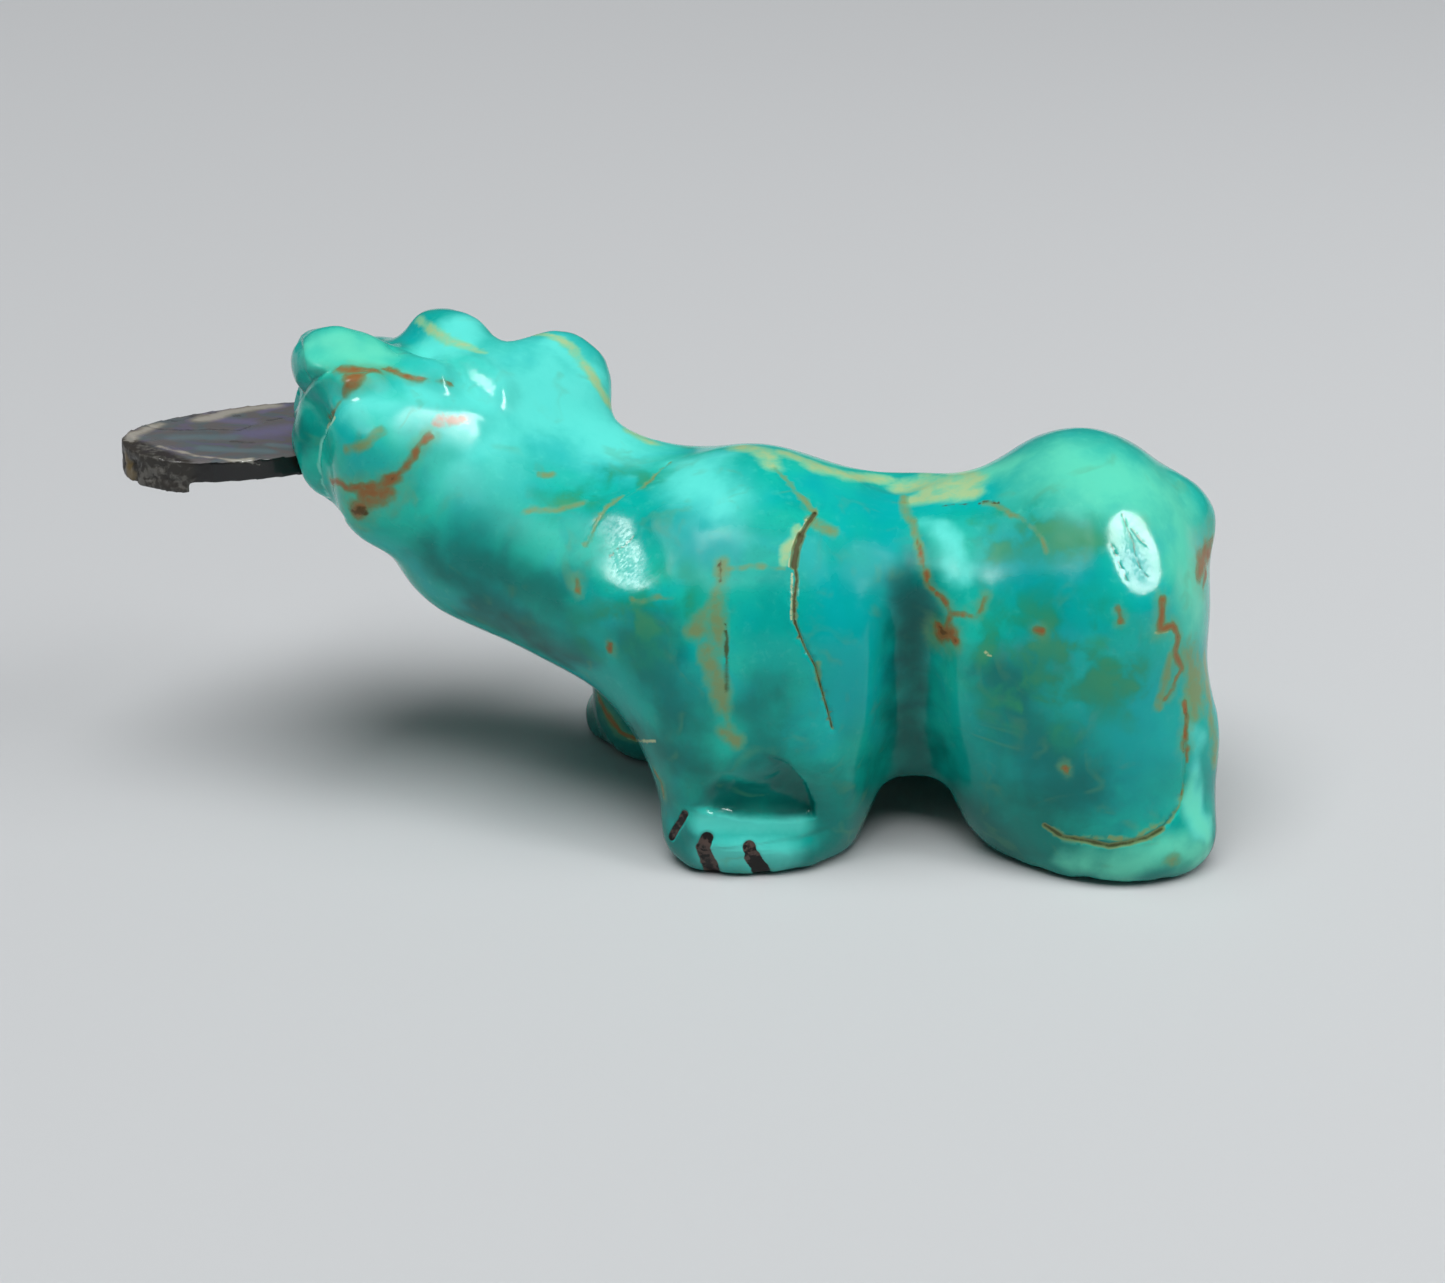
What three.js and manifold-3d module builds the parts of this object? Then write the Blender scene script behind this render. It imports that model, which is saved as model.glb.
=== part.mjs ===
// A small bear carved from one stone. Its head is raised and turned to its right, and its jaws
// hold a thin fish of shell crosswise.
// Millimetres, +Z up. The bear walks towards -X, its left side faces -Y, and its feet stand on Z = 0.
// The origin is under the middle of the whole work, fish included.
import * as THREE from "three";
import Module from "manifold-3d";

// Driving dimensions
const bearLength = 57.7; // left side of the jaws to the back of the rump
const fishLength = 22.6; // blunt end to tail fin
const fishWidth = 12.2; // back to belly
const fishThickness = 1.4; // of the flat shell
const fishEndThickness = 2.1; // of the blunt end, where the rough outside of the shell is left on
const slotClearance = 0.3; // between the fish and the slot that holds it
const skinStep = 1.25; // spacing of the net that skins the carving

// The carving's proportions are hundredths of its length: x from the jaws, y from the middle of the
// body, z from the ground.
const share = bearLength / 100;
const at = (x, y, z) => new THREE.Vector3(x, y, z);

// Where the head sits on the neck, and how far it looks to the bear's right
const headPlace = at(10.2, 11.5, 43);
const headTurn = THREE.MathUtils.degToRad(52);

// Where the fish's blunt end is, which way the fish lies, and how it dips towards its tail
const fishPlace = at(-15.4, -0.2, 41.3);
const fishTurn = THREE.MathUtils.degToRad(44);
const fishDip = THREE.MathUtils.degToRad(6.5);

// A place on the head: ahead of its middle, to its left, and up
const forward = at(-Math.cos(headTurn), Math.sin(headTurn), 0);
const leftward = at(-Math.sin(headTurn), -Math.cos(headTurn), 0);
function onHead(ahead, left, up) {
  const place = headPlace.clone().addScaledVector(forward, ahead);
  return place.addScaledVector(leftward, left).add(at(0, 0, up));
}

// A rounded mass with its own half sizes
function mass(centre, halves) {
  const q = new THREE.Vector3();
  const half = new THREE.Vector3(...halves);
  return (p) => {
    const k = q.copy(p).sub(centre).divide(half).length();
    const slope = q.divide(half).length();
    return slope > 0 ? (k * (k - 1)) / slope : -Math.min(...halves);
  };
}

// A limb from one round end to another, each with its own radius
function limb(from, to, fromRadius, toRadius) {
  const q = new THREE.Vector3();
  const along = to.clone().sub(from);
  return (p) => {
    const t = THREE.MathUtils.clamp(q.copy(p).sub(from).dot(along) / along.lengthSq(), 0, 1);
    return q.addScaledVector(along, -t).length() - THREE.MathUtils.lerp(fromRadius, toRadius, t);
  };
}

// Two distances joined with a fillet, so that the masses flow into each other
function blend(a, b, fillet) {
  const h = Math.max(fillet - Math.abs(a - b), 0) / fillet;
  return Math.min(a, b) - (h * h * fillet) / 4;
}

function joined(parts) {
  const [first, ...others] = parts;
  return (p) => others.reduce((d, part) => blend(d, part.shape(p), part.fillet), first.shape(p));
}

const body = joined([
  // shoulders, rump, the waist between them and the short tail
  { shape: mass(at(50.5, -0.6, 23.5), [16.5, 17.2, 19]) },
  { shape: mass(at(85.7, -1.4, 24.8), [14.5, 18, 19.8]), fillet: 3 },
  { shape: mass(at(67.5, -1.4, 22.5), [22, 15.3, 17.1]), fillet: 5 },
  { shape: limb(at(94, 0, 32), at(96, 0, 34.5), 4.8, 4.6), fillet: 3 },
  // root of the neck
  { shape: limb(at(50, -2.5, 28), at(36, -1.5, 29.8), 12, 10.4), fillet: 4 },
  // near foreleg and paw
  { shape: limb(at(47.5, -7, 18), at(49.5, -10, 8), 10.5, 9), fillet: 4 },
  { shape: mass(at(53, -9.8, 10), [12, 8.2, 14]), fillet: 3 },
  { shape: mass(at(50, -12.7, 3.4), [9.8, 6, 5.4]), fillet: 1.5 },
  // far foreleg, a step ahead of the near one
  { shape: limb(at(41, 9, 20), at(38.5, 13, 6), 10, 8), fillet: 5 },
  { shape: mass(at(36, 16, 2.5), [7.5, 5, 4.5]), fillet: 1.5 },
  // near hind leg, and the far one ahead of it
  { shape: mass(at(86, -9.8, 12), [15.2, 9.3, 15.5]), fillet: 3 },
  { shape: mass(at(91.2, -13.2, 3), [9.7, 6.8, 5.5]), fillet: 5 },
  { shape: mass(at(77, 9.8, 12), [17, 8.8, 15.5]), fillet: 3 },
  { shape: mass(at(76, 12.5, 3), [14, 6.3, 5.5]), fillet: 3 },
]);

// What is ground away: a groove down each flank between shoulder and haunch, and a hollow above
// the near paw
const grooves = joined([
  { shape: limb(at(67.6, -17.6, 36), at(67.6, -13.8, 4), 3.4, 4.2) },
  { shape: limb(at(67, 17.6, 34), at(57, 17.2, 11), 3.2, 4.2), fillet: 1 },
]);
const hollow = limb(at(48.5, -21.6, 9.4), at(57, -21.6, 7.4), 5.2, 6);

const neck = joined([
  { shape: limb(at(45, -0.5, 26.5), at(23, 5, 33.6), 13.8, 13.2) },
  // the collar behind the head, up its near side and over to the far side
  { shape: limb(at(12.2, -1.3, 38), at(12.2, -0.8, 45), 6, 6), fillet: 3 },
  { shape: limb(at(12.2, -0.8, 45), at(20, 3, 46.5), 6, 5), fillet: 2 },
  { shape: limb(at(20, 3, 46.5), at(29, 12, 46.3), 5, 6), fillet: 3 },
]);

const head = joined([
  { shape: limb(onHead(-3, 0, -2), onHead(3, 0, -3), 10, 10) },
  // upper jaw, lower jaw
  { shape: limb(onHead(7, 0, -1), onHead(14.5, 0, -1), 7, 4.6), fillet: 3 },
  { shape: limb(onHead(5, 0, -7), onHead(12.5, 0, -7.5), 5.5, 3.6), fillet: 3 },
  // left cheek
  { shape: mass(at(6.7, 5, 41), [6.4, 6.2, 7.2]), fillet: 3 },
  // left ear, right ear
  { shape: limb(onHead(-6, 8.2, 8.3), onHead(-1, 7.8, 7.3), 4.2, 4), fillet: 2 },
  { shape: limb(onHead(-5, -6, 7), onHead(-1, -6, 7), 4.3, 4), fillet: 2 },
]);

// The nape is flattened on its left side, down to the ears and the collar
const napeTop = at(27.9, 12.6, 52.6);
const napeSlope = at(0.43, -0.52, 0.737).normalize();

function carving(p) {
  const aboveNape = napeTop.dot(napeSlope) - p.dot(napeSlope);
  const raised = -blend(-blend(neck(p), head(p), 1.2), aboveNape, 3);
  const ground = -blend(blend(-body(p), grooves(p), 3.5), hollow(p), 1.5);
  return blend(ground, raised, 5);
}

// Skins a solid given by its distance: one point in each crossed cell of a net of cubes, and one
// four-sided face round each crossed edge of the net
function skin(distance, low, high, step) {
  const counts = high.clone().sub(low).divideScalar(step).ceil().addScalar(1).toArray();
  const strides = [1, counts[0], counts[0] * counts[1]];
  const p = new THREE.Vector3();
  const placeOf = (cell) => p.fromArray(cell).multiplyScalar(step).add(low);
  const indexOf = (cell) => cell.reduce((sum, n, axis) => sum + n * strides[axis], 0);
  const everyCell = (visit) => {
    for (let k = 0; k < counts[2] - 1; k++)
      for (let j = 0; j < counts[1] - 1; j++)
        for (let i = 0; i < counts[0] - 1; i++) visit([i, j, k]);
  };
  const values = new Float32Array(strides[2] * counts[2]).fill(step);
  everyCell((cell) => {
    values[indexOf(cell)] = distance(placeOf(cell));
  });
  const crosses = (a, axis) => values[a] < 0 !== values[a + strides[axis]] < 0;

  // Moves a point straight on to the surface
  const settle = (q) => {
    const h = step / 20;
    const slope = new THREE.Vector3();
    for (let round = 0; round < 4; round++) {
      for (let axis = 0; axis < 3; axis++) {
        const ahead = p.copy(q).setComponent(axis, q.getComponent(axis) + h);
        const rise = distance(ahead);
        const behind = p.copy(q).setComponent(axis, q.getComponent(axis) - h);
        slope.setComponent(axis, (rise - distance(behind)) / (2 * h));
      }
      const gap = THREE.MathUtils.clamp(distance(p.copy(q)), -step, step);
      q.addScaledVector(slope, -gap / slope.lengthSq());
    }
  };

  const points = [];
  const pointOf = new Map();
  everyCell((cell) => {
    const sum = new THREE.Vector3();
    let crossings = 0;
    for (let axis = 0; axis < 3; axis++)
      for (let side = 0; side < 4; side++) {
        const corner = [...cell];
        corner[(axis + 1) % 3] += side & 1;
        corner[(axis + 2) % 3] += side >> 1;
        const a = indexOf(corner);
        if (!crosses(a, axis)) continue;
        corner[axis] += values[a] / (values[a] - values[a + strides[axis]]);
        sum.add(placeOf(corner));
        crossings++;
      }
    if (!crossings) return;
    const point = sum.divideScalar(crossings);
    settle(point);
    pointOf.set(indexOf(cell), points.push(point) - 1);
  });

  const faces = [];
  everyCell((cell) => {
    const a = indexOf(cell);
    for (let axis = 0; axis < 3; axis++) {
      if (!crosses(a, axis)) continue;
      const [u, v] = [strides[(axis + 1) % 3], strides[(axis + 2) % 3]];
      const ring = [a, a - u, a - u - v, a - v].map((n) => pointOf.get(n));
      if (values[a] > 0) ring.reverse();
      const [q0, q1, q2, q3] = ring.map((n) => points[n]);
      if (q0.distanceTo(q2) > q1.distanceTo(q3)) ring.push(ring.shift());
      faces.push(ring[0], ring[1], ring[2], ring[0], ring[2], ring[3]);
    }
  });
  return { points, faces };
}

const wasm = await Module();
wasm.setup();

function solidFrom({ points, faces }) {
  return new wasm.Manifold(
    new wasm.Mesh({
      numProp: 3,
      vertProperties: new Float32Array(points.flatMap((q) => q.toArray())),
      triVerts: new Uint32Array(faces),
    }),
  );
}

// A closed geometry as a solid, its corners merged
function solidOf(geometry) {
  const position = geometry.getAttribute("position");
  const corners = geometry.index ? [...geometry.index.array] : [...Array(position.count).keys()];
  const points = [];
  const known = new Map();
  const faces = corners.map((n) => {
    const point = new THREE.Vector3().fromBufferAttribute(position, n);
    const key = point.toArray().map((v) => v.toFixed(4)).join();
    if (!known.has(key)) known.set(key, points.push(point) - 1);
    return known.get(key);
  });
  return solidFrom({ points, faces });
}

function geometryOf(solid) {
  const { vertProperties, triVerts } = solid.getMesh();
  const geometry = new THREE.BufferGeometry();
  geometry.setAttribute("position", new THREE.BufferAttribute(vertProperties, 3));
  geometry.setIndex(new THREE.BufferAttribute(triVerts, 1));
  geometry.computeVertexNormals();
  return geometry;
}

// The fish seen from above, blunt end at the left and back upwards, as shares of its length and
// width, and grown on all sides to make room round it
function fishOutline(grow) {
  const back = [[0, 0.08], [0.05, 0.28], [0.2, 0.44], [0.5, 0.5], [0.78, 0.43], [1, 0.5]];
  const belly = [[0.96, 0.1], [1, -0.24], [0.8, -0.06], [0.6, -0.3], [0.42, -0.44], [0.2, -0.4],
    [0.06, -0.28], [0, -0.08]];
  const place = ([x, y], side) => {
    const end = x < 0.02 ? -grow : x > 0.95 ? grow : 0;
    return new THREE.Vector2(x * fishLength + end, y * fishWidth + side * grow);
  };
  const shape = new THREE.Shape();
  const upper = back.map((q) => place(q, 1));
  const lower = belly.map((q) => place(q, -1));
  shape.moveTo(upper[0].x, upper[0].y);
  shape.splineThru(upper.slice(1));
  shape.lineTo(lower[0].x, lower[0].y);
  shape.splineThru(lower.slice(1));
  shape.closePath();
  return shape;
}

// A slab of the fish's outline, between two heights
function fishSlab(grow, bottom, top) {
  const slab = new THREE.ExtrudeGeometry(fishOutline(grow), {
    depth: top - bottom,
    bevelEnabled: false,
    curveSegments: 5,
  });
  return slab.translate(0, 0, bottom);
}

// The blunt end is thicker below, by a block of the same outline cut off across the fish
function fishSolid() {
  const endLength = 0.08 * fishLength;
  const beyond = new THREE.BoxGeometry(2 * fishLength, 2 * fishWidth, 2 * fishLength);
  beyond.translate(endLength + fishLength, 0, 0);
  const plateBottom = -fishThickness / 2;
  const end = solidOf(fishSlab(0, plateBottom + fishThickness - fishEndThickness, plateBottom + 0.1));
  const plate = solidOf(fishSlab(0, plateBottom, fishThickness / 2));
  return plate.add(end.subtract(solidOf(beyond)));
}

const fishPose = new THREE.Matrix4()
  .makeTranslation(fishPlace.clone().multiplyScalar(share))
  .multiply(new THREE.Matrix4().makeRotationZ(fishTurn))
  .multiply(new THREE.Matrix4().makeRotationY(fishDip));

// The bear: skinned, cut flat under its feet, and slotted between the jaws
function bearSolid() {
  const p = new THREE.Vector3();
  const low = at(-6, -24, -8).multiplyScalar(share);
  const high = at(106, 36, 64).multiplyScalar(share);
  const distance = (q) => carving(p.copy(q).divideScalar(share)) * share;
  const stone = solidFrom(skin(distance, low, high, skinStep));
  const ground = new THREE.BoxGeometry(3 * bearLength, 3 * bearLength, bearLength);
  ground.translate(0, 0, -bearLength / 2);
  const halfSlot = fishThickness / 2 + slotClearance;
  const slot = fishSlab(slotClearance * Math.SQRT2, -halfSlot, halfSlot).applyMatrix4(fishPose);
  return stone.subtract(solidOf(ground)).subtract(solidOf(slot));
}

const turquoise = new THREE.MeshStandardMaterial({ color: 0x1fb5a8, roughness: 0.3 });
const shell = new THREE.MeshStandardMaterial({ color: 0x4a4852, roughness: 0.35 });

const bear = new THREE.Mesh(geometryOf(bearSolid()), turquoise);
bear.name = "bear";

const fish = new THREE.Mesh(geometryOf(fishSolid()), shell);
fish.name = "fish";
fish.applyMatrix4(fishPose);

const group = new THREE.Group();
group.add(bear, fish);

// The work is moved so that the origin is under its middle
const box = new THREE.Box3().setFromObject(group, true);
const middle = box.getCenter(new THREE.Vector3());
group.position.set(-middle.x, -middle.y, 0);

export default group;
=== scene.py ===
import math

import bmesh
import bpy
import numpy as np
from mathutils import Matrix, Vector, noise
from mathutils.bvhtree import BVHTree


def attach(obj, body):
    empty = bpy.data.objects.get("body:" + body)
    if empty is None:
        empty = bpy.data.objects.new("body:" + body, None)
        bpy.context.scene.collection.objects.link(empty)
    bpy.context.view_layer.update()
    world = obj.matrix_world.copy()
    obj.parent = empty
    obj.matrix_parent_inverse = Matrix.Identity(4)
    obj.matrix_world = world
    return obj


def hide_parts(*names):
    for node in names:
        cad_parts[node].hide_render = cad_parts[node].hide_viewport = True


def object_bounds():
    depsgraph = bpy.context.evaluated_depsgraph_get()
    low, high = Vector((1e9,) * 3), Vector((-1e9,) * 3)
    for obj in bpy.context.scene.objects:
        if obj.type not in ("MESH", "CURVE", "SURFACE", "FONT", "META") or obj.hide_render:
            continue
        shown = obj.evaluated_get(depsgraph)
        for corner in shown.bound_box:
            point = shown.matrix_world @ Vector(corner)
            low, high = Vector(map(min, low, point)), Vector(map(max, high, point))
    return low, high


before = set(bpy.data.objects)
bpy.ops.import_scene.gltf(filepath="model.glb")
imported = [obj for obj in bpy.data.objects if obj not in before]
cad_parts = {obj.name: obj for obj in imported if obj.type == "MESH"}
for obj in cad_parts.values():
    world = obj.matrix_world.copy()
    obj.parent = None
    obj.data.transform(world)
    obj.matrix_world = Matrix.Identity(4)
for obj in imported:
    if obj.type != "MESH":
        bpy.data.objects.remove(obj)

MM = 0.001
solid_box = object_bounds()

# The camera stands where the photograph was taken from: off the bear's left side and looking down
# at it. Its frame is the photograph's, so a pixel of the photograph is also a line of sight here.
photo_size = (1445, 1283)
photo_middle = (822, 641.5)  # the pixel that the lens faces squarely
photo_focus = 2000  # the lens's focal length in pixels
eye = Vector((9.57, -120.0, 66.73)) * MM
eye_dip = math.radians(25.5)  # how far the camera looks down

lens = bpy.data.cameras.new("camera")
lens.sensor_width = 36
lens.lens = lens.sensor_width * photo_focus / photo_size[0]
lens.shift_x = (photo_size[0] / 2 - photo_middle[0]) / photo_size[0]
lens.clip_start = 5 * MM
camera = bpy.data.objects.new("camera", lens)
camera.location = eye
camera.rotation_euler = (math.pi / 2 - eye_dip, 0, 0)
bpy.context.scene.collection.objects.link(camera)
bpy.context.scene.camera = camera

# The bear is one piece of turquoise, sawn and ground to shape on a wheel and polished by hand. It
# keeps the solid's form, on a net of small faces that can hold its cracks and its cut strokes.
stone_net = 0.34 * MM
merge_gap = 0.001 * MM


def fine_copy(node, name, net, rounding, ironing):
    """A finely and evenly netted copy of a solid, its edges eased as by polishing."""
    shape = bmesh.new()
    shape.from_mesh(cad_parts[node].data)
    bmesh.ops.remove_doubles(shape, verts=shape.verts, dist=merge_gap)
    mesh = bpy.data.meshes.new(name)
    shape.to_mesh(mesh)
    shape.free()
    piece = bpy.data.objects.new(name, mesh)
    bpy.context.scene.collection.objects.link(piece)
    rounded = piece.modifiers.new("rounding", "SUBSURF")
    rounded.levels = rounded.render_levels = rounding
    netting = piece.modifiers.new("netting", "REMESH")
    netting.mode = "VOXEL"
    netting.voxel_size = net
    smoothing = piece.modifiers.new("ironing", "SMOOTH")
    smoothing.iterations = ironing
    graph = bpy.context.evaluated_depsgraph_get()
    piece.data = bpy.data.meshes.new_from_object(piece.evaluated_get(graph))
    piece.modifiers.clear()
    piece.data.name = name
    return piece


def places_of(mesh):
    places = np.empty(len(mesh.vertices) * 3)
    mesh.vertices.foreach_get("co", places)
    return places.reshape(-1, 3)


def normals_of(mesh):
    normals = np.empty(len(mesh.vertices) * 3)
    mesh.vertex_normals.foreach_get("vector", normals)
    return normals.reshape(-1, 3)


def give_places(mesh, places):
    mesh.vertices.foreach_set("co", places.ravel())
    mesh.update()


def surface_of(mesh):
    corners = [v.co.copy() for v in mesh.vertices]
    return BVHTree.FromPolygons(corners, [p.vertices[:] for p in mesh.polygons])


# The camera's directions, by which a stroke drawn over the photograph finds its place on the bear
rightward = Vector((1, 0, 0))
upward = Vector((0, math.sin(eye_dip), math.cos(eye_dip)))
onward = Vector((0, math.cos(eye_dip), -math.sin(eye_dip)))


def line_of_sight(x, y):
    across = rightward * (x - photo_middle[0]) - upward * (y - photo_middle[1])
    return (onward * photo_focus + across).normalized()


def drawn_on(surface, half_width, line):
    """Where a stroke drawn over the photograph lies on a surface, as close points, and how much
    of the surface one pixel spans there."""
    places, spans = [], []
    pace = max(half_width / 3, 1)
    for start, end in zip(line, line[1:]):
        steps = math.ceil(math.dist(start, end) / pace)
        for step in range(steps + 1):
            x, y = (a + (b - a) * step / steps for a, b in zip(start, end))
            place = surface.ray_cast(eye, line_of_sight(x, y))[0]
            if place is not None:
                places.append(place)
                spans.append((place - eye).dot(onward) / photo_focus)
    return np.array(places), np.mean(spans) if spans else 0


def nearness(places, surface, strokes):
    """How near each place is to a set of strokes: 1 on a stroke's line, a half at its edge and 0
    at twice its half width."""
    nearest = np.zeros(len(places))
    for half_width, *line in strokes:
        drawn, span = drawn_on(surface, half_width, line)
        if not span:
            continue
        reach = 2 * half_width * span
        low, high = drawn.min(0) - reach, drawn.max(0) + reach
        inside = np.flatnonzero(((places > low) & (places < high)).all(1))
        gap = np.full(len(inside), reach)
        for point in drawn:
            gap = np.minimum(gap, np.linalg.norm(places[inside] - point, axis=1))
        nearest[inside] = np.maximum(nearest[inside], 1 - gap / reach)
    return nearest


def widened(strokes, share, margin=0):
    """The same strokes with other half widths."""
    return [(half_width * share + margin, *line) for half_width, *line in strokes]


def refine(mesh, near):
    """Halves each edge of the net that has both ends marked as near."""
    shape = bmesh.new()
    shape.from_mesh(mesh)
    edges = [e for e in shape.edges if near[e.verts[0].index] and near[e.verts[1].index]]
    bmesh.ops.subdivide_edges(shape, edges=edges, cuts=1, use_grid_fill=True)
    corners = [f for f in shape.faces if len(f.verts) > 4]
    bmesh.ops.triangulate(shape, faces=corners)
    shape.to_mesh(mesh)
    shape.free()


def eased(share):
    """A share from 0 to 1 that leaves 0 and reaches 1 gently."""
    return share * share * (3 - 2 * share)


def sink(mesh, depths):
    give_places(mesh, places_of(mesh) - normals_of(mesh) * depths[:, None])


def press(mesh, surface, strokes, depth, steepness=1):
    """Sinks the net along the strokes, or raises it where the depth is negative."""
    near = nearness(places_of(mesh), surface, strokes)
    sunk = np.clip((near - 0.5) * steepness + 0.5, 0, 1) * (near > 0)
    sink(mesh, eased(sunk) * depth)


def towards(azimuth, height):
    """A direction from the bear: azimuth 0 is off its left side and 90 off its rump."""
    turn, rise = math.radians(azimuth), math.radians(height)
    level = math.cos(rise)
    return Vector((math.sin(turn) * level, -math.cos(turn) * level, math.sin(rise)))


def grind(mesh, surface, stroke, share, light=None):
    """Brings the surface round a stroke nearer to one plane, as a flat wheel does. It is the plane
    that fits best, or one that mirrors a light to the eye and is quite flat in its middle."""
    facet_edge = 0.3  # a place as near as this counts for the facet's plane
    flat_middle = 1.4  # nearness is raised by this, up to 1
    places = places_of(mesh)
    near = nearness(places, surface, [stroke])
    facet = places[near > facet_edge]
    middle = facet.mean(0)
    square_on = np.linalg.svd(facet - middle, full_matrices=False)[2][2]
    if light:
        square_on = np.array((towards(*light) + (eye - Vector(middle)).normalized()).normalized())
        near = np.clip(near * flat_middle, 0, 1)
    above = (places - middle) @ square_on * eased(near) * share
    give_places(mesh, places - np.outer(above, square_on))


def beside(places, line):
    """How many pixels each place lies to the right of someone who walks along a line on the
    photograph, and how far along the line that is, from 0 to 1."""
    sights = places - np.array(eye)
    away = sights @ np.array(onward)
    x = sights @ np.array(rightward) / away * photo_focus + photo_middle[0]
    y = photo_middle[1] - sights @ np.array(upward) / away * photo_focus
    nearest = np.full(len(places), np.inf)
    side, along = np.zeros(len(places)), np.zeros(len(places))
    whole = sum(math.dist(a, b) for a, b in zip(line, line[1:]))
    walked = 0
    for start, end in zip(line, line[1:]):
        length = math.dist(start, end)
        pace_x, pace_y = ((b - a) / length for a, b in zip(start, end))
        run = np.clip((x - start[0]) * pace_x + (y - start[1]) * pace_y, 0, length)
        off_x, off_y = x - start[0] - run * pace_x, y - start[1] - run * pace_y
        gap = np.hypot(off_x, off_y)
        closer = gap < nearest
        nearest[closer] = gap[closer]
        side[closer] = (gap * np.sign(pace_x * off_y - pace_y * off_x))[closer]
        along[closer] = ((walked + run) / whole)[closer]
        walked += length
    return side, along


def shelve(mesh, surface, depth, reach, line):
    """Sinks the ground to the right of a line, steeply at the line and fading out away from it."""
    lip = 1.5  # half the width of the crisp edge, in pixels
    end_fades = 5  # a fifth of the line fades out at each end
    places = places_of(mesh)
    near = nearness(places, surface, [(reach, *line)])
    side, along = beside(places, line)
    steep = np.clip((side + lip) / (2 * lip), 0, 1)
    fading = np.clip(1 - side / reach, 0, 1)
    ends = np.clip(np.minimum(along, 1 - along) * end_fades, 0, 1)
    sink(mesh, (near > 0) * depth * eased(steep) * eased(fading) * eased(ends))


stone = fine_copy("bear", "turquoise_bear", stone_net, rounding=1, ironing=5)
stone_surface = surface_of(stone.data)

# The broad carving: the flanks are ground flatter, a groove parts the shoulder from the haunch, and
# the ears run smoothly into the nape. A stroke is its half width and then its points, in pixels.
flat_flanks = [(75, (735, 580), (750, 690)), (70, (1030, 590), (1055, 690))]
flank_groove = [(28, (897, 470), (904, 560), (910, 650), (912, 750))]
shoulder_point = [(36, (650, 530), (642, 590))]
neck_crease = [(15, (606, 486), (588, 526), (578, 580))]
ear_joins = [
    (24, (380, 356), (392, 362)),
    (16, (404, 366), (440, 376)),
    (12, (352, 382), (372, 378)),
]
# How deep each goes, in millimetres: below zero the stone is left higher there
for strokes, depth in (
    (flat_flanks, 0.35),
    (flank_groove, 0.9),
    (shoulder_point, -0.55),
    (neck_crease, 0.25),
    (ear_joins, -0.8),
):
    press(stone.data, stone_surface, strokes, depth * MM)

# The facets that the wheel left, how flat each is, and the way to the light that it mirrors
key_way, side_way = (-30, 50), (61, 37)  # as azimuth and height
near_ear = (28, (318, 350), (378, 358))
nape_side = (50, (520, 395), (580, 400))
cheek = (18, (412, 416), (468, 432))
shoulder = (28, (606, 534), (626, 560))
behind_ear = (18, (468, 372), (490, 386))
haunch = (28, (1130, 535), (1145, 572))
paw_top = (14, (700, 828), (800, 828))
paw_front = (16, (700, 866), (800, 862))
for stroke, flatness, light in (
    (near_ear, 0.85, None),
    (nape_side, 0.4, None),
    (cheek, 0.85, side_way),
    (shoulder, 0.9, key_way),
    (behind_ear, 0.9, key_way),
    (haunch, 0.8, side_way),
    (paw_top, 0.7, None),
    (paw_front, 0.5, None),
):
    grind(stone.data, stone_surface, stroke, flatness, light)

# Where one form stands before another the edge between them is crisp: the near ear, the cheek, the
# collar's rim, the hollow over the near paw and the ledge along it
stone_surface = surface_of(stone.data)
ear_edge = ((301, 334), (302, 350), (304, 368), (308, 384))
cheek_edge = ((345, 362), (330, 372), (313, 382), (300, 398), (291, 418))
collar_rim = ((338, 404), (328, 426), (321, 443), (319, 460), (322, 485), (332, 504), (348, 522))
hollow_edge = (
    (760, 752), (786, 764), (804, 784), (813, 804), (814, 817), (780, 820), (740, 818), (690, 808)
)
paw_ledge = ((680, 842), (712, 850), (760, 844), (800, 837), (850, 820))
# Each edge's drop, in millimetres, and within how many pixels that fades out
crisp_edges = (
    (ear_edge, 0.25, 14),
    (cheek_edge, 0.3, 14),
    (collar_rim, 0.5, 24),
    (hollow_edge, 0.85, 46),
    (paw_ledge, 0.05, 24),
)
edge_band = 5  # half the width, in pixels, of the finer net along an edge
edge_strokes = [(edge_band, *line) for line, _, _ in crisp_edges]
refine(stone.data, nearness(places_of(stone.data), stone_surface, edge_strokes) > 0)
for line, depth, reach in crisp_edges:
    shelve(stone.data, stone_surface, depth * MM, reach, line)

# The fine cuts: the open crack down the shoulder, healed ones round the haunch and across the neck,
# hair cracks, and three claws cut in the near paw and blackened
stone_surface = surface_of(stone.data)
crack = [
    (2.0, (815, 514), (808, 524), (801, 536)),
    (3.2, (801, 536), (796, 550), (794, 566)),
    (1.6, (795, 566), (797, 580), (794, 601), (795, 623)),
    (1.6, (795, 623), (805, 648), (815, 666), (821, 688), (828, 712), (832, 728)),
]
haunch_seam = [
    (2.4, (1045, 825), (1063, 837), (1088, 841), (1109, 846), (1128, 843), (1146, 838), (1162, 829)),
    (1.6, (1162, 829), (1178, 811), (1183, 789), (1185, 758), (1186, 715)),
]
neck_seam = [(1.8, (670, 462), (642, 487), (616, 501), (603, 513), (592, 530), (585, 545))]
hair_cracks = [
    (1.0, (1122, 514), (1127, 528), (1133, 541), (1135, 556), (1142, 572), (1150, 579)),
    (1.0, (1131, 528), (1140, 540), (1148, 546)),
    (1.0, (1111, 545), (1118, 560), (1127, 580)),
    (1.0, (610, 557), (619, 548), (624, 547), (634, 536)),
    (1.2, (725, 622), (727, 650), (727, 690)),
]
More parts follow.
